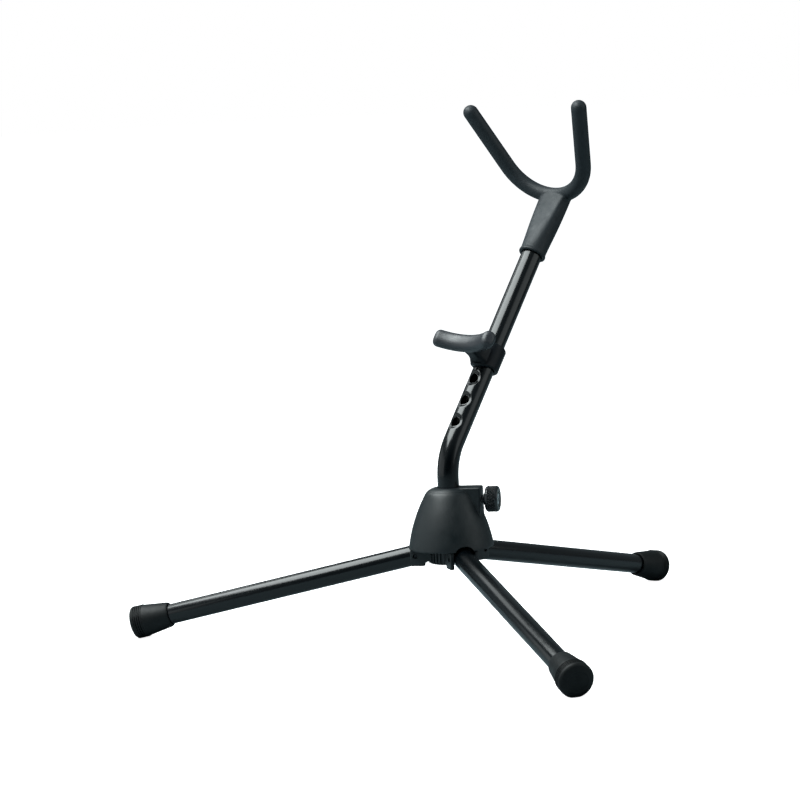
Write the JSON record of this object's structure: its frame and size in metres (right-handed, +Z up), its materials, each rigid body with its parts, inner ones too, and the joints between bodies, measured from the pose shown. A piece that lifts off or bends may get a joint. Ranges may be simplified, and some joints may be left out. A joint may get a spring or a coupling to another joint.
{
  "type": "saxophone stand",
  "caption": "Folding tripod stand for a saxophone, with a height-adjustable bent mast, a padded fork for the bell and a movable padded lower rest.",
  "frame": {"origin": "on the floor, under the middle of the stand's bounding box", "axes": "+Z up; -Y towards the side on which the saxophone hangs, +Y along the rear leg; +X to the right of someone who stands at -Y and looks at it"},
  "size_m": [0.5008, 0.4372, 0.4411],
  "materials": {
    "coated_tube": "satin black powder coat over steel tube",
    "hub_plastic": "moulded black plastic with a satin sheen",
    "soft_cover": "soft matte black cover with a fine grain",
    "foot_rubber": "matte charcoal rubber",
    "knob_plastic": "black plastic with fine knurling",
    "bright_steel": "plated steel",
    "dark_steel": "blackened steel",
    "brass": "turned brass"
  },
  "bodies": {
    "hub": {"hub_housing": "hub_plastic", "leg_carrier": "hub_plastic", "housing_screw_1": "bright_steel", "housing_screw_2": "bright_steel", "housing_screw_3": "bright_steel", "clamp_nut": "bright_steel", "rear_hinge_pin": "dark_steel", "left_hinge_pin": "dark_steel", "right_hinge_pin": "dark_steel"},
    "rear_leg": {"rear_leg_tube": "coated_tube", "rear_leg_insert": "hub_plastic", "rear_leg_foot": "foot_rubber"},
    "left_leg": {"left_leg_tube": "coated_tube", "left_leg_insert": "hub_plastic", "left_leg_foot": "foot_rubber"},
    "right_leg": {"right_leg_tube": "coated_tube", "right_leg_insert": "hub_plastic", "right_leg_foot": "foot_rubber"},
    "clamp_slider": {"clamp_shoe": "brass"},
    "clamp_knob": {"clamp_screw": "bright_steel", "clamp_knob": "knob_plastic"},
    "mast_slider": {"mast_plug": "foot_rubber"},
    "mast": {"mast_tube": "coated_tube", "fork_frame": "coated_tube", "fork_pin": "bright_steel", "fork_cover": "soft_cover"},
    "rest": {"rest_clip": "hub_plastic", "rest_arm": "bright_steel", "rest_pad": "soft_cover", "rest_screw": "bright_steel", "rest_peg": "brass", "rest_spring": "bright_steel"}
  },
  "joints": [
    {"name": "rear_leg_fold", "type": "hinge", "parent": "hub", "child": "rear_leg", "pos_m": [0, -0.03747, 0.069], "axis": [-1, 0, 0], "range_deg": [0, 77.5]},
    {"name": "left_leg_fold", "type": "hinge", "parent": "hub", "child": "left_leg", "pos_m": [-0.02511, -0.08097, 0.069], "axis": [0.5, -0.866, 0], "range_deg": [0, 77.5]},
    {"name": "right_leg_fold", "type": "hinge", "parent": "hub", "child": "right_leg", "pos_m": [0.02511, -0.08097, 0.069], "axis": [0.5, 0.866, 0], "range_deg": [0, 77.5]},
    {"name": "clamp_travel", "type": "slide", "parent": "hub", "child": "clamp_slider", "axis": [0.866, 0.5, 0], "range_m": [0, 0.003]},
    {"name": "clamp_turn", "type": "hinge", "parent": "clamp_slider", "child": "clamp_knob", "pos_m": [0, -0.06647, 0.1147], "axis": [0.866, 0.5, 0], "range_deg": [0, 1080]},
    {"name": "mast_lift", "type": "slide", "parent": "hub", "child": "mast_slider", "axis": [0, 0, 1], "range_m": [0, 0.03]},
    {"name": "mast_swivel", "type": "hinge", "parent": "mast_slider", "child": "mast", "pos_m": [0, -0.06647, 0.1], "axis": [0, 0, 1], "continuous": true},
    {"name": "rest_slide", "type": "slide", "parent": "mast", "child": "rest", "axis": [0, 0.6088, 0.7934], "range_m": [-0.0636, 0], "deforming": ["rest_peg", "rest_spring"]}
  ],
  "couplings": [
    {"joint": "clamp_travel", "follows": "clamp_turn", "m_per_rad": 0.00015915}
  ]
}
